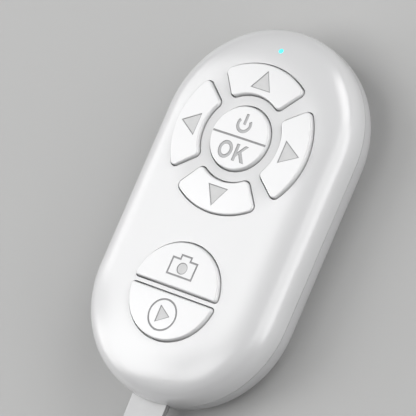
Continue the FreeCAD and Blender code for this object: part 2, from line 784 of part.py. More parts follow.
def coin_cell():
    can = disc(0, 0, CELL_RADIUS, CELL_BOTTOM, CELL_TOP - CELL_CAP_HEIGHT)
    can = can.makeFillet(CELL_RIM_ROUNDING, [edge for edge in can.Edges if edge.Closed])
    cap = disc(0, 0, CELL_CAP_DIAMETER / 2, CELL_TOP - 2 * CELL_CAP_HEIGHT, CELL_TOP)
    return join([can, cap])


def battery_cradle():
    """Open ring under the board that keeps the cell in place sideways."""
    inner = CELL_RADIUS + CRADLE_CLEARANCE
    ring = tube(0, 0, inner, inner + CRADLE_WALL, LUG_TOP + CRADLE_LIFT, BOARD_BOTTOM)
    return ring.cut(box(-CRADLE_WINDOW / 2, CRADLE_WINDOW / 2, -FAR, 0, 0, FAR))


def positive_contact():
    """Leaf on the side of the cell, in the cradle's window."""
    near = -CELL_RADIUS - SIDE_CONTACT_CLEARANCE
    leaf = box(-CONTACT_WIDTH / 2, CONTACT_WIDTH / 2, near - CONTACT_THICKNESS, near,
               LUG_TOP + 2 * CRADLE_LIFT, BOARD_BOTTOM)
    foot = box(-CONTACT_WIDTH / 2, CONTACT_WIDTH / 2, near - SIDE_CONTACT_FOOT, near,
               BOARD_BOTTOM - CONTACT_THICKNESS, BOARD_BOTTOM)
    return join([leaf, foot])


def negative_contact():
    """Plate under the board with two arms bent down to the cap of the cell."""
    half_plate = ARM_CONTACT_PLATE / 2
    tip = half_plate + ARM_CONTACT_REACH
    top = BOARD_BOTTOM
    drop = BOARD_ABOVE_CELL - CONTACT_THICKNESS
    outline = [
        (-half_plate, top), (half_plate, top), (tip, top - drop),
        (tip, top - drop - CONTACT_THICKNESS), (half_plate, top - CONTACT_THICKNESS),
        (-half_plate, top - CONTACT_THICKNESS), (-tip, top - drop - CONTACT_THICKNESS),
        (-tip, top - drop),
    ]
    corners = [Vector(x, -ARM_CONTACT_WIDTH / 2, z) for x, z in outline]
    face = Part.Face(Part.makePolygon(corners + corners[:1]))
    return face.extrude(Vector(0, ARM_CONTACT_WIDTH, 0))


# Board

def circuit_board():
    board = oval_prism(BOARD_RADIUS, BOARD_BOTTOM, BOARD_TOP)
    board = board.cut(box(-FAR, FAR, -FAR, BOARD_END_Y, 0, FAR))
    holes = [disc(x, y, SCREW_RADIUS + SCREW_BOARD_CLEARANCE, 0, FAR) for x, y in screw_places()]
    return cut_all(board, holes)


def board_screws():
    screws = []
    for x, y in screw_places():
        head = disc(x, y, SCREW_HEAD_RADIUS, BOARD_BOTTOM - SCREW_HEAD_HEIGHT, BOARD_BOTTOM)
        shank = disc(x, y, SCREW_RADIUS, BOARD_BOTTOM - SCREW_HEAD_HEIGHT / 2,
                     BOARD_BOTTOM + SCREW_LENGTH)
        low = BOARD_BOTTOM - SCREW_HEAD_HEIGHT
        high = low + SCREW_CROSS_DEPTH
        cross = [block(x, y, SCREW_CROSS_LENGTH, SCREW_CROSS_WIDTH, low, high),
                 block(x, y, SCREW_CROSS_WIDTH, SCREW_CROSS_LENGTH, low, high)]
        screws.append(cut_all(join([head, shank]), cross))
    return Part.Compound(screws)


def switch_base():
    body = block(0, 0, SWITCH_SIDE, SWITCH_SIDE, BOARD_TOP, SWITCH_TOP)
    return body.cut(disc(0, 0, SWITCH_WELL_RADIUS, WELL_FLOOR, SWITCH_TOP + 1))


def switch_cover():
    plate = block(0, 0, SWITCH_SIDE, SWITCH_SIDE, SWITCH_TOP, COVER_TOP)
    return plate.cut(disc(0, 0, STEM_RADIUS + STEM_HOLE_CLEARANCE, SWITCH_TOP - 1, COVER_TOP + 1))


def switch_stem():
    collar = disc(0, 0, STEM_COLLAR_RADIUS, COLLAR_BOTTOM, COLLAR_TOP)
    pin = disc(0, 0, STEM_RADIUS, COLLAR_BOTTOM, STEM_TOP)
    return join([collar, pin])


def snap_dome():
    """Thin spherical cap that clicks down when its stem is pressed."""
    radius = (DOME_RADIUS ** 2 + DOME_RISE ** 2) / (2 * DOME_RISE)
    centre = Vector(0, 0, WELL_FLOOR + DOME_RISE - radius)
    outside = Part.makeSphere(radius, centre)
    inside = Part.makeSphere(radius - DOME_THICKNESS, centre)
    dome = outside.cut(inside)
    return dome.common(disc(0, 0, 2 * DOME_RADIUS, WELL_FLOOR, SWITCH_TOP))


def bluetooth_chip():
    return block(CHIP_X, chip_row_y(), CHIP_SIDE, CHIP_SIDE, BOARD_TOP, BOARD_TOP + CHIP_HEIGHT)


def chip_row_y():
    """Middle of the free strip of board between the pad's and the pair's switches."""
    upper = PAD_Y - ARC_KEY_MIDDLE
    lower = PAIR_Y + HALF_KEY_MIDDLE
    return (upper + lower) / 2


def crystal():
    can = block(CRYSTAL_X, chip_row_y(), CRYSTAL_WIDTH, CRYSTAL_LENGTH, BOARD_TOP,
                BOARD_TOP + CRYSTAL_HEIGHT)
    return can.makeFillet(CRYSTAL_ROUNDING, upright_edges(can))


def small_parts():
    """Resistors and capacitors left of the chip and beside the light."""
    shapes = []
    first_x = CHIP_X - CHIP_SIDE / 2 - SMALL_PART_LENGTH
    for row in range(SMALL_PART_ROWS):
        for place in range(SMALL_PARTS_PER_ROW):
            x = first_x - place * SMALL_PART_PITCH
            y = chip_row_y() + (row - 0.5) * 2 * SMALL_PART_PITCH
            shapes.append(block(x, y, SMALL_PART_WIDTH, SMALL_PART_LENGTH, BOARD_TOP,
                                BOARD_TOP + SMALL_PART_WIDTH))
    shapes.append(block(LIGHT_LENGTH + SMALL_PART_PITCH, LIGHT_Y, SMALL_PART_LENGTH,
                        SMALL_PART_WIDTH, BOARD_TOP, BOARD_TOP + SMALL_PART_WIDTH))
    return Part.Compound(shapes)


def antenna_trace():
    """Copper meander along the end of the board nearest the strap."""
    low_y = BOARD_END_Y + TRACE_WIDTH
    high = BOARD_TOP + TRACE_THICKNESS
    first_x = -TRACE_PITCH * TRACE_TURNS
    pieces = []
    for leg in range(2 * TRACE_TURNS + 1):
        x = first_x + leg * TRACE_PITCH
        pieces.append(box(x - TRACE_WIDTH / 2, x + TRACE_WIDTH / 2, low_y, low_y + TRACE_HEIGHT,
                          BOARD_TOP, high))
        if leg == 2 * TRACE_TURNS:
            break
        y = low_y if leg % 2 else low_y + TRACE_HEIGHT - TRACE_WIDTH
        pieces.append(box(x, x + TRACE_PITCH, y, y + TRACE_WIDTH, BOARD_TOP, high))
    return join(pieces)


# Light

def status_light():
    return block(0, LIGHT_Y, LIGHT_LENGTH, LIGHT_WIDTH, BOARD_TOP, BOARD_TOP + LIGHT_HEIGHT)


def light_guide():
    """Clear rod from the light up to a pinhole in the face."""
    low = BOARD_TOP + LIGHT_HEIGHT + GUIDE_ABOVE_LIGHT
    body = disc(0, LIGHT_Y, GUIDE_RADIUS, low, guide_top())
    tip = disc(0, LIGHT_Y, WINDOW_RADIUS, low, BODY_HEIGHT + 1).common(face_form())
    return join([body, tip])


# Strap

def strap_pin():
    return Part.makeCylinder(PIN_RADIUS, PIN_LENGTH, Vector(-PIN_LENGTH / 2, PIN_Y, STRAP_Z),
                             Vector(1, 0, 0))


def tear_face(radius, half_height, end_y):
    """Upright outline round the pin: an arc with two tangents that meet the straight plies."""
    distance = PIN_Y - end_y
    reach = math.hypot(distance, half_height)
    angle = math.acos(radius / reach) + math.atan2(half_height, distance)
    touch_y = PIN_Y - radius * math.cos(angle)
    touch_z = radius * math.sin(angle)
    low = Vector(0, touch_y, STRAP_Z - touch_z)
    high = Vector(0, touch_y, STRAP_Z + touch_z)
    turn = Vector(0, PIN_Y + radius, STRAP_Z)
    start = Vector(0, end_y, STRAP_Z + half_height)
    finish = Vector(0, end_y, STRAP_Z - half_height)
    edges = [Part.makeLine(start, high), Part.Arc(high, turn, low).toShape(),
             Part.makeLine(low, finish), Part.makeLine(finish, start)]
    return Part.Face(Part.Wire(edges))


def route_points():
    """Out with the upper ply, round on the surface, and back with the lower ply."""
    points = []
    for index, (x, past_tip, fall) in enumerate(STRAP_ROUTE):
        slot_z = UPPER_PLY_Z if 2 * index < len(STRAP_ROUTE) else LOWER_PLY_Z
        points.append(Vector(x, -BODY_TIP - past_tip, slot_z + (LOOP_Z - slot_z) * fall))
    return points


def strap_fold():
    """The band's fold round the pin, as far as its straight plies."""
    end_y = route_points()[0].y
    outside = tear_face(FOLD_OUTER, STRAP_PLY + STRAP_PLY_GAP / 2, end_y)
    inside = tear_face(FOLD_INNER, STRAP_PLY_GAP / 2, end_y)
    face = outside.cut(inside)
    return moved(face.extrude(Vector(STRAP_WIDTH, 0, 0)), -STRAP_WIDTH / 2, 0)


def route_sections():
    """Points and directions along the route: straight runs joined by tangent arcs."""
    points = route_points()
    stations = [(points[0], (points[1] - points[0]).normalize())]
    tightest = FAR
    for before, corner, after in zip(points, points[1:], points[2:]):
        into = (corner - before).normalize()
        out = (after - corner).normalize()
        turn = into.getAngle(out)
        tangent = 0.45 * min((corner - before).Length, (after - corner).Length)
        radius = tangent / math.tan(turn / 2)
        tightest = min(tightest, radius)
        start = corner - into * tangent
        inward = (out - into * into.dot(out)).normalize()
        centre = start + inward * radius
        steps = max(1, math.ceil(math.degrees(turn) / ARC_STEP))
        for step in range(steps + 1):
            angle = turn * step / steps
            place = centre + into * (radius * math.sin(angle)) - inward * (radius * math.cos(angle))
            stations.append((place, into * math.cos(angle) + inward * math.sin(angle)))
    stations.append((points[-1], (points[-1] - points[-2]).normalize()))
    print("strap: tightest arc %.1f mm" % tightest)
    return stations


def twist(distance, length):
    """Turn of the band about its route, in degrees: flat, then on edge, then flat again."""
    from_end = min(distance, length - distance)
    share = (from_end - TWIST_START) / (TWIST_END - TWIST_START)
    share = min(max(share, 0), 1)
    quarter = 90 * share * share * (3 - 2 * share)
    return quarter if distance < length / 2 else 180 - quarter


def strap_loop():
    """The loop of band outside the body, lofted through upright and lying sections."""
    stations = route_sections()
    distances = [0]
    for (here, _), (there, _) in zip(stations, stations[1:]):
        distances.append(distances[-1] + (there - here).Length)
    length = distances[-1]
    print("strap: route length %.1f mm" % length)
    wires = []
    for (place, along), distance in zip(stations, distances):
        outward = Vector(-along.y, along.x, 0).normalize()
        up = along.cross(outward)
        angle = math.radians(twist(distance, length))
        normal = up * math.cos(angle) + outward * math.sin(angle)
        across = along.cross(normal) * (STRAP_WIDTH / 2)
        thick = normal * (STRAP_PLY / 2)
        corners = [place + across + thick, place - across + thick,
                   place - across - thick, place + across - thick]
        wires.append(Part.makePolygon(corners + corners[:1]))
    return Part.makeLoft(wires, True, True)


def wrist_strap():
    return join([strap_fold(), strap_loop()])


# All nodes

def nodes():
    parts = {
        "top_shell": top_shell(),
        "bottom_shell": bottom_shell(),
        "battery_door": battery_door(),
        "coin_cell": coin_cell(),
        "battery_cradle": battery_cradle(),
        "positive_contact": positive_contact(),
        "negative_contact": negative_contact(),
        "circuit_board": circuit_board(),
        "board_screws": board_screws(),
        "bluetooth_chip": bluetooth_chip(),
        "crystal": crystal(),
        "small_parts": small_parts(),
        "antenna_trace": antenna_trace(),
        "status_light": status_light(),
        "light_guide": light_guide(),
        "strap_pin": strap_pin(),
        "wrist_strap": wrist_strap(),
    }
    parts.update(keys())
    places = switch_places()
    parts["switch_bases"] = Part.Compound([moved(switch_base(), *places[name]) for name in places])
    parts["switch_covers"] = Part.Compound([moved(switch_cover(), *places[name]) for name in places])
    for name, place in places.items():
        parts["stem_" + name] = moved(switch_stem(), *place)
        parts["dome_" + name] = moved(snap_dome(), *place)
    return parts


def main():
    os.makedirs("parts", exist_ok=True)
    for name, shape in nodes().items():
        if not shape.isValid():
            print("not valid:", name)
        shape.exportStep(os.path.join("parts", name + ".step"))
        print("%s: %d solid(s), %.2f mm3" % (name, len(shape.Solids), shape.Volume))


main()
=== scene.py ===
import json
import math

import bmesh
import bpy
from mathutils import Matrix, Vector


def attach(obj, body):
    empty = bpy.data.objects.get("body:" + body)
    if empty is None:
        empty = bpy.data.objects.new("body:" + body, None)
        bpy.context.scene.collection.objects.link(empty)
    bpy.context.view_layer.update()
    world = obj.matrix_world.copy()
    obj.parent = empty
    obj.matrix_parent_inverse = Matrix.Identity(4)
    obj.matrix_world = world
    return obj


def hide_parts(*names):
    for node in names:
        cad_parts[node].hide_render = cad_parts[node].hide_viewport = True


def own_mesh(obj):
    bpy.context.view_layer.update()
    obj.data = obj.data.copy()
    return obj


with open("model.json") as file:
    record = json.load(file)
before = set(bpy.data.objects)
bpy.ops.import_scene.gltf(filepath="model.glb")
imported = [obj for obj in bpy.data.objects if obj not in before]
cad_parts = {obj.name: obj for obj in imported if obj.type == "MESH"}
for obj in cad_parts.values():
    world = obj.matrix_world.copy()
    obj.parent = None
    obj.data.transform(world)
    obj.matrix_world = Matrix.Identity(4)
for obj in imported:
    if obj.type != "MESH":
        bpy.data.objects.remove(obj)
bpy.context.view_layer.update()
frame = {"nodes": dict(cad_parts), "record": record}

MM = 0.001
nodes = frame["nodes"]

# Sizes of the solids that the pieces below are fitted to, in millimetres
PAD_Y = 11.87
PAIR_Y = -14.9
KEY_APEX = 12.63
KEY_CROWN_RADIUS = 180.0
ENGRAVING_DEPTH = 0.15
CENTRE_KEY_RADIUS = 5.55
GROOVE_WIDTH = 0.36
STRAP_WIDTH = 7.1
STRAP_PLY = 0.62
TWIST_START = 7.0
TWIST_END = 34.0

# Each key's name, with the middle of its group along Y
KEYS = {"up": PAD_Y, "left": PAD_Y, "down": PAD_Y, "right": PAD_Y, "ok": PAD_Y,
        "shutter": PAIR_Y, "play": PAIR_Y}

# The strap's route, and its fold round the pin, in metres
STRAP_ROUTE = [
    (0.0, -0.0302, 0.00602),
    (0.0, -0.0395, 0.00602),
    (0.0022, -0.0505, 0.00519),
    (0.009, -0.0645, 0.0041),
    (0.018, -0.0815, 0.00365),
    (0.024, -0.1025, 0.00365),
    (0.0246, -0.1254, 0.00365),
    (0.0106, -0.1419, 0.00365),
    (-0.0109, -0.1422, 0.00365),
    (-0.0252, -0.1274, 0.00365),
    (-0.0249, -0.1045, 0.00365),
    (-0.0188, -0.0825, 0.00365),
    (-0.0092, -0.065, 0.004),
    (-0.0022, -0.0505, 0.0048),
    (0.0, -0.0395, 0.00534),
    (0.0, -0.0302, 0.00534),
]
FOLD_ROUTE = [
    (0.0, -0.0302, 0.00534),
    (0.0, -0.0293, 0.00452),
    (0.0, -0.02724, 0.00452),
    (0.0, -0.02724, 0.00684),
    (0.0, -0.0293, 0.00684),
    (0.0, -0.0302, 0.00602),
]
BAND_ROUNDING = 0.24          # of the strap's long edges, in millimetres

# Signs on the keys, in millimetres
SIGN_ABOVE_FLOOR = 0.05       # thickness of an inlay on the floor of its engraving
# The darker rims are painted shade from the engravings' walls; a thin stroke is painted that dark
# all over
ARROW_RIM = 0.16
POWER_RIM = 0.09
OK_RIM = 0.11
ALL_RIM = 0                   # for a thin stroke, which is as dark as a rim all over
PLAY_SIGN_Y = -4.2            # from the middle of its group

# Painted shade on the casing between the keys of the pad, where the keys' occlusion falls
PAD_PAINTED_SHADE = 0.17              # how much greyer it is
PAD_PAINTED_SHADE_RADIUS = 9.0
PAD_PAINTED_SHADE_END = 14.0

COAT_ROUGHNESS = 0.25
GLOSS_WHITE = {"cloud": 0.003, "uneven": 0.015, "coat": 1.0, "coat_ior": 1.75}
WAVE_PERIOD = 0.314           # of a wave texture at a scale of 1, in metres

CAMERA_PLACE = (0.3526, -0.07306, 0.5398)
CAMERA_RIGHT = (0.788, 0.3944, -0.4728)
CAMERA_UP = (-0.272, 0.9119, 0.3074)
CAMERA_LENS = 346.15
CAMERA_SENSOR = 36
CAMERA_CLIP = (0.01, 20)

FLOOR_TONE = (0.52, 0.52, 0.515)
FLOOR_BOUNCE_TONE = (0.22, 0.22, 0.22)
FLOOR_REACH = 3.0             # metres
FLOOR_DROP = 0.00002          # metres, so that it doesn't meet the back of the body

WORLD_TONE = (0.92, 0.95, 1)
WORLD_STRENGTH = 0.03

# Each lamp's turn from +X and height in degrees, size in metres, and power in watts
LAMP_DISTANCE = 0.7
LAMPS = [
    ("strip_lamp", 168, 46, (0.3, 0.95), 1.8),
    ("main_lamp", 206, 46, (0.36, 0.36), 1.3),
    ("low_main_lamp", 206, 20, (0.3, 0.3), 0.62),
    ("low_left_lamp", 190, 14, (0.5, 0.34), 0.45),
    ("top_lamp", 180, 80, (0.3, 0.3), 0.22),
    ("front_lamp", 258, 64, (0.3, 0.3), 0.64),
    ("low_side_lamp", 12, 15, (0.62, 0.34), 1.8),
    ("high_side_lamp", 10, 43, (0.5, 0.36), 0.92),
    ("back_lamp", 60, 28, (0.5, 0.36), 1.7),
]


# Objects

def add_object(name, data):
    made = bpy.data.objects.new(name, data)
    bpy.context.scene.collection.objects.link(made)
    return made


def add_camera():
    camera = add_object("camera", bpy.data.cameras.new("camera"))
    camera.data.sensor_width = CAMERA_SENSOR
    camera.data.lens = CAMERA_LENS
    camera.data.clip_start, camera.data.clip_end = CAMERA_CLIP
    right = Vector(CAMERA_RIGHT).normalized()
    back = right.cross(Vector(CAMERA_UP)).normalized()
    place = Matrix((right, back.cross(right), back)).transposed().to_4x4()
    place.translation = Vector(CAMERA_PLACE)
    camera.matrix_world = place
    bpy.context.scene.camera = camera


def add_piece(name, made):
    """Piece with the mesh that was made."""
    mesh = bpy.data.meshes.new(name)
    bmesh.ops.recalc_face_normals(made, faces=made.faces)
    made.to_mesh(mesh)
    made.free()
    return add_object(name, mesh)


def copy_solid(node, name):
    """Piece with a mesh of its own, in the shape of the solid."""
    mesh = nodes[node].data.copy()
    mesh.name = name
    return add_object(name, mesh)


def settle(piece):
    """Gives the piece the mesh that its modifiers make."""
    bpy.context.view_layer.update()
    graph = bpy.context.evaluated_depsgraph_get()
    mesh = bpy.data.meshes.new_from_object(piece.evaluated_get(graph))
    piece.modifiers.clear()
    piece.data = mesh


# Strap

def spline_points(route, resolution):
    """Points along the route's own spline."""
    curve = bpy.data.curves.new("route", "CURVE")
    curve.dimensions = "3D"
    curve.resolution_u = resolution
    spline = curve.splines.new("NURBS")
    spline.points.add(len(route) - 1)
    for point, place in zip(spline.points, route):
        point.co = (*place, 1)
    spline.order_u = 3
    spline.use_endpoint_u = True
    holder = add_object("route", curve)
    bpy.context.view_layer.update()
    mesh = bpy.data.meshes.new_from_object(holder)
    points = [vertex.co.copy() for vertex in mesh.vertices]
    bpy.data.objects.remove(holder)
    bpy.data.meshes.remove(mesh)
    return points


def band_section():
    """Section of the band: a flat bar with rounded edges, as across and up in mm."""
    radius = BAND_ROUNDING
    steps = 5
    section = []
    for corner, (side_x, side_y) in enumerate([(1, 1), (-1, 1), (-1, -1), (1, -1)]):
        for step in range(steps + 1):
            angle = math.radians(90 * (corner + step / steps))
            section.append((side_x * (STRAP_WIDTH / 2 - radius) + radius * math.cos(angle),
                            side_y * (STRAP_PLY / 2 - radius) + radius * math.sin(angle)))
    return section


def twist(distance, length):
    """Turn of the band about its route, in radians: flat, then on edge, then flat again."""
    from_end = min(distance, length - distance)
    share = (from_end - TWIST_START) / (TWIST_END - TWIST_START)
    share = min(max(share, 0), 1)
    quarter = math.pi / 2 * share * share * (3 - 2 * share)
    return quarter if distance < length / 2 else math.pi - quarter


def heading(places, index):
    """Direction of the route at one of its places."""
    after = places[min(index + 1, len(places) - 1)]
    return (after - places[max(index - 1, 0)]).normalized()


def add_band(name, places, frames):
    """Sweeps the band's section through the places; a frame is its across and up directions."""
    made = bmesh.new()
    section = band_section()
    loops = []
    for place, (across, up) in zip(places, frames):
        loops.append([made.verts.new(place + across * (x * MM) + up * (y * MM))
                      for x, y in section])
    count = len(section)
    on_edge = [abs(x) > STRAP_WIDTH / 2 - BAND_ROUNDING / 2 for x, y in section]
    for here, there in zip(loops, loops[1:]):
        for index in range(count):
            after = (index + 1) % count
            face = made.faces.new((here[index], here[after], there[after], there[index]))
            # The band's long edges take the darker strap material, which is painted shade on its
            # sides
            if on_edge[index] and on_edge[after]:
                face.material_index = 1
    made.faces.new(loops[0])
    made.faces.new(loops[-1])
    band = add_piece(name, made)
    band.data.shade_smooth()
    band.data.materials.append(materials["strap"])
    band.data.materials.append(materials["strap_edge_painted_shade"])
    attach(band, "casing")
    return band


def add_strap():
    places = spline_points(STRAP_ROUTE, resolution=16)
    distances = [0.0]
    for here, there in zip(places, places[1:]):
        distances.append(distances[-1] + (there - here).length / MM)
    frames = []
    for index, distance in enumerate(distances):
        along = heading(places, index)
        outward = Vector((-along.y, along.x, 0)).normalized()
        angle = twist(distance, distances[-1])
        normal = along.cross(outward) * math.cos(angle) + outward * math.sin(angle)
        frames.append((along.cross(normal), normal))
    loop = add_band("strap_loop", places, frames)
    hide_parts("wrist_strap")

    turn = spline_points(FOLD_ROUTE, resolution=10)
    across = Vector((1, 0, 0))
    frames = [(across, heading(turn, index).cross(across)) for index in range(len(turn))]
    fold = add_band("strap_fold", turn, frames)


# Keys

def add_key(name, group_y):
    """The key's own mesh with the true normals of its crown, so that its gloss runs smooth."""
    facing_up = 0.7
    off_crown = 0.002
    centre = Vector((0, group_y, KEY_APEX - KEY_CROWN_RADIUS)) * MM
    cap = copy_solid("key_" + name, "cap_" + name)
    mesh = cap.data
    normals = [corner.vector.copy() for corner in mesh.corner_normals]
    for face in mesh.polygons:
        for corner in face.loop_indices:
            out = mesh.vertices[mesh.loops[corner].vertex_index].co - centre
            on_crown = abs(out.length / MM - KEY_CROWN_RADIUS) < off_crown
            if on_crown and face.normal.z > facing_up:
                normals[corner] = out.normalized()
    mesh.normals_split_custom_set(normals)
    mesh.materials.clear()
    mesh.materials.append(materials["keycaps"])
    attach(cap, name + "_key")
    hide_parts("key_" + name)


def add_dome(name):
    """Snap dome with a mesh of its own, fixed to the casing."""
    dome = copy_solid("dome_" + name, "snap_dome_" + name)
    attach(dome, "casing")
    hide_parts("dome_" + name)
    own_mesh(dome)


# Signs let into the keys: each is an outline and its holes, in millimetres from the middle
# of the key's group

def oval(x, y, half_width, half_height):
    count = 56
    points = []
    for step in range(count):
        angle = 2 * math.pi * step / count
        points.append((x + half_width * math.cos(angle), y + half_height * math.sin(angle)))
    return points


def turned(points, degrees):
    cos = math.cos(math.radians(degrees))
    sin = math.sin(math.radians(degrees))
    return [(x * cos - y * sin, x * sin + y * cos) for x, y in points]


def arrow_sign(degrees):
    half_base = 1.97
    base_y = 8.47
    tip_y = 11.85
    return [(turned([(-half_base, base_y), (half_base, base_y), (0, tip_y)], degrees), [])]


def power_sign():
    """Broken ring with a bar through the break."""
    ring_y = 2.25
    stroke = 0.55
    ring_inner = 0.905
    start, finish = 145, 395
    steps = 32
    bar_low, bar_high = 2.24, 4.08
    ring = []
    for radius, begin, end in ((ring_inner + stroke, start, finish), (ring_inner, finish, start)):
        for step in range(steps + 1):
            angle = math.radians(begin + (end - begin) * step / steps)
            ring.append((radius * math.cos(angle), ring_y + radius * math.sin(angle)))
    side = stroke / 2
    bar = [(-side, bar_low), (side, bar_low), (side, bar_high), (-side, bar_high)]
    return [(ring, []), (bar, [])]


def ok_sign():
    """The word OK in plain strokes."""
    stroke = 0.6
    low = -3.88
    high = -1.0
    bowl_x = -1.5
    bowl_y = (low + high) / 2
    bowl_half_width = 1.37
    bowl_half_height = 1.5
    stem_left = 0.28
    stem_right = stem_left + stroke
    outer = oval(bowl_x, bowl_y, bowl_half_width, bowl_half_height)
    inner = oval(bowl_x, bowl_y, bowl_half_width - stroke, bowl_half_height - stroke)
    k_outline = [
        (stem_left, low), (stem_right, low), (stem_right, low + 0.72), (1.22, low + 1.2),
        (2.0, low), (2.75, low), (1.64, low + 1.7), (2.62, high), (1.9, high),
        (stem_right, low + 1.53), (stem_right, high), (stem_left, high),
    ]
    return [(outer, [inner]), (k_outline, [])]


def groove_sign():
    """Groove across the centre key, in pieces short enough to follow its crown."""
    pieces = 16
    end_gap = 0.3
    reach = CENTRE_KEY_RADIUS - end_gap
    half = GROOVE_WIDTH / 2
    run = [reach * (2 * step / pieces - 1) for step in range(pieces + 1)]
    return [([(x, -half) for x in run] + [(x, half) for x in reversed(run)], [])]


def camera_outline(inset):
    half_width = 2.57 - inset
    hump_half_width = 1.12 - inset
    low = 2.26 + inset
    shoulder = 5.36 - inset
    top = 6.07 - inset
    right_side = [(half_width, low), (half_width, shoulder), (hump_half_width, shoulder),
                  (hump_half_width, top)]
    return right_side + [(-x, y) for x, y in reversed(right_side)]


def camera_frame_sign():
    stroke = 0.32
    return [(camera_outline(0), [camera_outline(stroke)])]


def camera_lens_sign():
    radius = 1.0
    middle_y = 3.8
    return [(oval(0, middle_y, radius, radius), [])]


def play_ring_sign():
    outer = 2.73
    inner = 2.41
    return [(oval(0, PLAY_SIGN_Y, outer, outer), [oval(0, PLAY_SIGN_Y, inner, inner)])]


def play_arrow_sign():
    base_x = -0.94
    tip_x = 1.48
    half_base = 1.5
    return [([(base_x, PLAY_SIGN_Y - half_base), (tip_x, PLAY_SIGN_Y),
              (base_x, PLAY_SIGN_Y + half_base)], [])]


# Name, key, middle of its group, shapes, width of the darker rim of painted shade, and material
# inside it
SIGNS = [
    ("arrow_up", "key_up", PAD_Y, arrow_sign(0), ARROW_RIM, "sign_fill"),
    ("arrow_left", "key_left", PAD_Y, arrow_sign(90), ARROW_RIM, "sign_fill"),
    ("arrow_down", "key_down", PAD_Y, arrow_sign(180), ARROW_RIM, "sign_fill"),
    ("arrow_right", "key_right", PAD_Y, arrow_sign(270), ARROW_RIM, "sign_fill"),
    ("power_sign", "key_ok", PAD_Y, power_sign(), POWER_RIM, "sign_stroke"),
    ("ok_sign", "key_ok", PAD_Y, ok_sign(), OK_RIM, "sign_stroke"),
    ("groove", "key_ok", PAD_Y, groove_sign(), ALL_RIM, "sign_stroke"),
    ("camera_frame", "key_shutter", PAIR_Y, camera_frame_sign(), ALL_RIM, "sign_fill"),
    ("camera_lens", "key_shutter", PAIR_Y, camera_lens_sign(), ARROW_RIM, "sign_fill"),
    ("play_ring", "key_play", PAIR_Y, play_ring_sign(), ALL_RIM, "sign_fill"),
    ("play_arrow", "key_play", PAIR_Y, play_arrow_sign(), ARROW_RIM, "sign_fill"),
]


def add_sign(name, key, group_y, shapes, rim, fill):
    """Thin inlay on the floor of an engraving, with a darker rim along its edge that is painted
    shade from the engraving's walls.
    """
    made = bmesh.new()
    for outline, holes in shapes:
        edges = []
        for loop in [outline] + holes:
            corners = [made.verts.new((x * MM, y * MM, 0)) for x, y in loop]
            for index, corner in enumerate(corners):
                edges.append(made.edges.new((corner, corners[(index + 1) % len(corners)])))
        filled = bmesh.ops.triangle_fill(made, edges=edges, use_beauty=True, normal=(0, 0, 1))
        faces = [item for item in filled["geom"] if isinstance(item, bmesh.types.BMFace)]
        if rim:
            border = bmesh.ops.inset_region(made, faces=faces, thickness=rim * MM,
                                            use_boundary=True, use_even_offset=True)
            faces = border["faces"]
        for face in faces:
            face.material_index = 1
    ball_z = KEY_APEX - KEY_CROWN_RADIUS
    lowered = ENGRAVING_DEPTH - SIGN_ABOVE_FLOOR
    for vertex in made.verts:
        x, y = vertex.co.x / MM, vertex.co.y / MM
        crown = ball_z + math.sqrt(KEY_CROWN_RADIUS ** 2 - x * x - y * y)
        vertex.co = Vector((x, y + group_y, crown - lowered)) * MM
    sign = add_piece(name, made)
    if sign.data.polygons[0].normal.z < 0:
        sign.data.flip_normals()
    thick = sign.modifiers.new("thick", "SOLIDIFY")
    thick.thickness = SIGN_ABOVE_FLOOR * MM
    thick.offset = -1
    settle(sign)
    sign.data.materials.append(materials[fill])
    sign.data.materials.append(materials["sign_rim_painted_shade"])
    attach(sign, key.replace("key_", "") + "_key")


# Materials

def add_node(tree, kind, values):
    node = tree.nodes.new(kind)
    for key, value in values.items():
        node.inputs[key].default_value = value
    return node


def place_node(tree, stretch):
    """Places fixed to the object, stretched by that much along each axis."""
    place = tree.nodes.new("ShaderNodeTexCoord")
    scale = add_node(tree, "ShaderNodeMapping", {"Scale": stretch})
    tree.links.new(place.outputs["Object"], scale.inputs["Vector"])
    return scale.outputs["Vector"]


def noise(tree, feature, detail=2.0, stretch=(1, 1, 1)):
    """Noise whose spots are about that many millimetres across."""
    node = add_node(tree, "ShaderNodeTexNoise", {"Scale": 1 / (feature * MM), "Detail": detail})
    tree.links.new(place_node(tree, stretch), node.inputs["Vector"])
    return node.outputs["Fac"]


def rings(tree, pitch):
    """Rings about the Z axis, that many millimetres apart."""
    node = add_node(tree, "ShaderNodeTexWave",
                    {"Scale": WAVE_PERIOD / (pitch * MM), "Distortion": 0.4})
    node.wave_type = "RINGS"
    node.rings_direction = "Z"
    tree.links.new(place_node(tree, (1, 1, 1)), node.inputs["Vector"])
    return node.outputs["Fac"]


def ramp(tree, source, low, high, start=0.3, finish=0.7):
    """Blends from one colour to another as the source rises."""
    node = tree.nodes.new("ShaderNodeValToRGB")
    node.color_ramp.elements[0].position = start
    node.color_ramp.elements[0].color = (*low, 1)
    node.color_ramp.elements[1].position = finish
    node.color_ramp.elements[1].color = (*high, 1)
    tree.links.new(source, node.inputs["Fac"])
    return node.outputs["Color"]


def rescale(tree, source, low, high):
    node = add_node(tree, "ShaderNodeMapRange", {"To Min": low, "To Max": high})
    tree.links.new(source, node.inputs["Value"])
    return node.outputs["Result"]


def add_bump(tree, shader, source, height):
    """Relief that many millimetres high, over any relief that the shader already has."""
    bump = add_node(tree, "ShaderNodeBump", {"Distance": height * MM})
    tree.links.new(source, bump.inputs["Height"])
    last = shader.inputs["Normal"].links
    if last:
        tree.links.new(last[0].from_socket, bump.inputs["Normal"])
    tree.links.new(bump.outputs["Normal"], shader.inputs["Normal"])


def shade(tone, change):
    return tuple(min(max(value * (1 + change), 0), 1) for value in tone)


def nodes_of(material):
    """The material's node tree and its shader."""
    return material.node_tree, material.node_tree.nodes["Principled BSDF"]


def colour_of(shader):
    """The socket that the shader takes its colour from."""
    return shader.inputs["Base Color"].links[0].from_socket


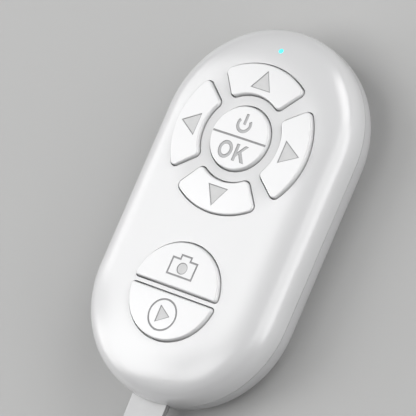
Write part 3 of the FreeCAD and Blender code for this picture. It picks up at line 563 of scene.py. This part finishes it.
def surface(name, tone, roughness, grain, height, cloud=0.012, uneven=0.05, spots=9.0,
            stretch=(1, 1, 1), metallic=0.0, coat=0.0, coat_ior=1.5):
    """Clouded colour, uneven gloss and a fine grain, which every material here starts from.

    The grain and the spots of the clouds are so many millimetres across, and the height is
    that of the grain's relief.
    """
    material = bpy.data.materials.new(name)
    material.use_nodes = True
    tree, shader = nodes_of(material)
    clouds = noise(tree, spots, detail=3.0)
    tree.links.new(ramp(tree, clouds, shade(tone, -cloud), shade(tone, cloud)),
                   shader.inputs["Base Color"])
    tree.links.new(rescale(tree, clouds, roughness - uneven, roughness + uneven),
                   shader.inputs["Roughness"])
    add_bump(tree, shader, noise(tree, grain, detail=4.0, stretch=stretch), height)
    shader.inputs["Metallic"].default_value = metallic
    shader.inputs["Coat Weight"].default_value = coat
    shader.inputs["Coat Roughness"].default_value = COAT_ROUGHNESS
    shader.inputs["Coat IOR"].default_value = coat_ior
    return material


def casing_surface():
    """Gloss white, with painted shade that makes it a little greyer round the pad's middle,
    between its keys.
    """
    material = surface("casing_plastic", (0.77, 0.77, 0.775), roughness=0.3, grain=0.12,
                       height=0.0012, **GLOSS_WHITE)
    tree, shader = nodes_of(material)
    place = tree.nodes.new("ShaderNodeTexCoord")
    offset = add_node(tree, "ShaderNodeMapping",
                      {"Location": (0, -PAD_Y * MM, 0), "Scale": (1, 1, 0)})
    tree.links.new(place.outputs["Object"], offset.inputs["Vector"])
    distance = tree.nodes.new("ShaderNodeVectorMath")
    distance.operation = "LENGTH"
    tree.links.new(offset.outputs["Vector"], distance.inputs[0])
    # Painted shade: the colour is scaled down near the pad's middle, where the keys' occlusion
    # falls
    share = add_node(tree, "ShaderNodeMapRange", {
        "From Min": PAD_PAINTED_SHADE_RADIUS * MM, "From Max": PAD_PAINTED_SHADE_END * MM,
        "To Min": 1 - PAD_PAINTED_SHADE, "To Max": 1})
    share.interpolation_type = "SMOOTHSTEP"
    tree.links.new(distance.outputs["Value"], share.inputs["Value"])
    shaded = tree.nodes.new("ShaderNodeVectorMath")
    shaded.operation = "SCALE"
    tree.links.new(colour_of(shader), shaded.inputs[0])
    tree.links.new(share.outputs["Result"], shaded.inputs["Scale"])
    tree.links.new(shaded.outputs["Vector"], shader.inputs["Base Color"])
    return material


def cell_surface():
    """Nickel plate with fine turned rings."""
    ring_pitch = 0.25
    ring_height = 0.002
    material = surface("cell_can", (0.72, 0.72, 0.73), roughness=0.3, grain=0.2, height=0.001,
                       metallic=1.0)
    tree, shader = nodes_of(material)
    add_bump(tree, shader, rings(tree, ring_pitch), ring_height)
    return material


def board_surface():
    """Green mask with the faint relief of the tracks under it."""
    track_pitch = 6
    track_height = 0.03
    material = surface("solder_mask", (0.03, 0.2, 0.09), roughness=0.35, grain=0.15,
                       height=0.001, cloud=0.1)
    tree, shader = nodes_of(material)
    tracks = add_node(tree, "ShaderNodeTexBrick", {
        "Scale": 1 / (track_pitch * MM), "Mortar Size": 0.03, "Mortar Smooth": 0.2,
        "Color1": (0, 0, 0, 1), "Color2": (0, 0, 0, 1), "Mortar": (1, 1, 1, 1)})
    tree.links.new(place_node(tree, (1, 1, 1)), tracks.inputs["Vector"])
    add_bump(tree, shader, tracks.outputs["Fac"], track_height)
    return material


def light_surface():
    """Clear plastic with the cyan light in it, a little brighter in places."""
    glow_spots = 0.6
    glow_strength = 0.95
    material = surface("lit_plastic", (0.05, 0.45, 0.5), roughness=0.25, grain=0.1, height=0.001)
    tree, shader = nodes_of(material)
    glow = ramp(tree, noise(tree, glow_spots), (0.1, 0.88, 0.95), (0.16, 1, 1))
    tree.links.new(glow, shader.inputs["Emission Color"])
    shader.inputs["Emission Strength"].default_value = glow_strength
    return material


materials = {
    "casing": casing_surface(),
    # Less glossy than the casing, and darker: the darker tone is painted shade on the body's
    # underside
    "back_casing_painted_shade": surface("back_plastic_painted_shade", (0.62, 0.62, 0.625), roughness=0.4, grain=0.12,
                           height=0.002, cloud=0.004, uneven=0.02, coat=0.3),
    "keycaps": surface("key_plastic", (0.83, 0.83, 0.835), roughness=0.28, grain=0.12,
                       height=0.001, **GLOSS_WHITE),
    "strap": surface("strap_skin", (0.66, 0.66, 0.662), roughness=0.5, grain=0.1, height=0.004,
                     cloud=0.03, spots=3.0),
    # Darker copy of the strap's colour: painted shade on the band's sides
    "strap_edge_painted_shade": surface("strap_edge_painted_shade", (0.27, 0.27, 0.272), roughness=0.6, grain=0.08,
                          height=0.006, cloud=0.06, spots=1.5),
    "steel": surface("rolled_steel", (0.62, 0.62, 0.63), roughness=0.3, grain=0.1, height=0.003,
                     stretch=(0.1, 1, 1), metallic=1.0),
    "spring_metal": surface("spring_plate", (0.78, 0.62, 0.33), roughness=0.28, grain=0.1,
                            height=0.002, stretch=(1, 0.1, 1), cloud=0.05, metallic=1.0),
    "board": board_surface(),
    "copper": surface("copper_plate", (0.8, 0.45, 0.28), roughness=0.32, grain=0.1,
                      height=0.002, cloud=0.05, metallic=1.0),
    "dark_plastic": surface("dark_plastic", (0.03, 0.03, 0.033), roughness=0.45, grain=0.1,
                            height=0.004, cloud=0.1),
    "cell_metal": cell_surface(),
    "clear_plastic": light_surface(),
    "ceramic": surface("fired_ceramic", (0.6, 0.48, 0.35), roughness=0.55, grain=0.05,
                       height=0.004, cloud=0.08, spots=0.4),
    "sign_fill": surface("sign_fill", (0.68, 0.68, 0.68), roughness=0.5, grain=0.08,
                         height=0.002, cloud=0.03, spots=1.0),
    "sign_stroke": surface("sign_stroke", (0.52, 0.52, 0.525), roughness=0.5, grain=0.08,
                           height=0.002, cloud=0.03, spots=1.0),
    # Painted shade of the engravings' walls, on the rims and on thin strokes
    "sign_rim_painted_shade": surface("sign_rim_painted_shade", (0.33, 0.33, 0.335), roughness=0.5, grain=0.08,
                        height=0.002, cloud=0.05, spots=1.0),
}


def dress_solids():
    """Gives each CAD node the material of its slot, and the two pieces of the back theirs, a
    darker copy of the casing's plastic that is painted shade on the underside.
    """
    for row in frame["record"]["subparts"]:
        mesh = nodes[row["node"]].data
        mesh.materials.clear()
        mesh.materials.append(materials[row["material_slot"]])
    for name in ("bottom_shell", "battery_door"):
        nodes[name].data.materials[0] = materials["back_casing_painted_shade"]


# Stage

def floor_surface():
    """Pale paper that looks paler than the light that it throws back on the object."""
    material = surface("floor_paper", FLOOR_TONE, roughness=0.8, grain=2.0, height=0.02,
                       cloud=0.01, spots=200.0)
    tree, shader = nodes_of(material)
    ray = tree.nodes.new("ShaderNodeLightPath")
    seen = ray.outputs["Is Camera Ray"]
    for kind in ("Is Glossy Ray", "Is Transmission Ray"):
        either = tree.nodes.new("ShaderNodeMath")
        either.operation = "MAXIMUM"
        tree.links.new(seen, either.inputs[0])
        tree.links.new(ray.outputs[kind], either.inputs[1])
        seen = either.outputs[0]
    mix = tree.nodes.new("ShaderNodeMix")
    mix.data_type = "RGBA"
    bounced, looked_at = mix.inputs[6], mix.inputs[7]
    tree.links.new(seen, mix.inputs["Factor"])
    bounced.default_value = (*FLOOR_BOUNCE_TONE, 1)
    tree.links.new(colour_of(shader), looked_at)
    tree.links.new(mix.outputs[2], shader.inputs["Base Color"])
    return material


def add_floor():
    made = bmesh.new()
    bmesh.ops.create_grid(made, x_segments=1, y_segments=1, size=FLOOR_REACH)
    floor = add_piece("floor", made)
    floor.location = (0, 0, -FLOOR_DROP)
    floor.data.materials.append(floor_surface())


def add_lamp(name, turn, height, size, power):
    """Flat lamp that faces the object."""
    lamp = bpy.data.lights.new(name, "AREA")
    lamp.shape = "RECTANGLE"
    lamp.size, lamp.size_y = size
    lamp.energy = power
    holder = add_object(name, lamp)
    turn, height = math.radians(turn), math.radians(height)
    toward = Vector((math.cos(height) * math.cos(turn), math.cos(height) * math.sin(turn),
                     math.sin(height)))
    holder.location = toward * LAMP_DISTANCE
    holder.rotation_euler = toward.to_track_quat("Z", "Y").to_euler()


def add_world():
    world = bpy.data.worlds.new("world")
    bpy.context.scene.world = world
    world.use_nodes = True
    background = world.node_tree.nodes["Background"]
    background.inputs["Color"].default_value = (*WORLD_TONE, 1)
    background.inputs["Strength"].default_value = WORLD_STRENGTH


add_camera()
dress_solids()
add_strap()
for name, group_y in KEYS.items():
    add_key(name, group_y)
    add_dome(name)
for sign in SIGNS:
    add_sign(*sign)
add_floor()
for lamp in LAMPS:
    add_lamp(*lamp)
add_world()
bpy.context.scene.view_settings.view_transform = "Standard"
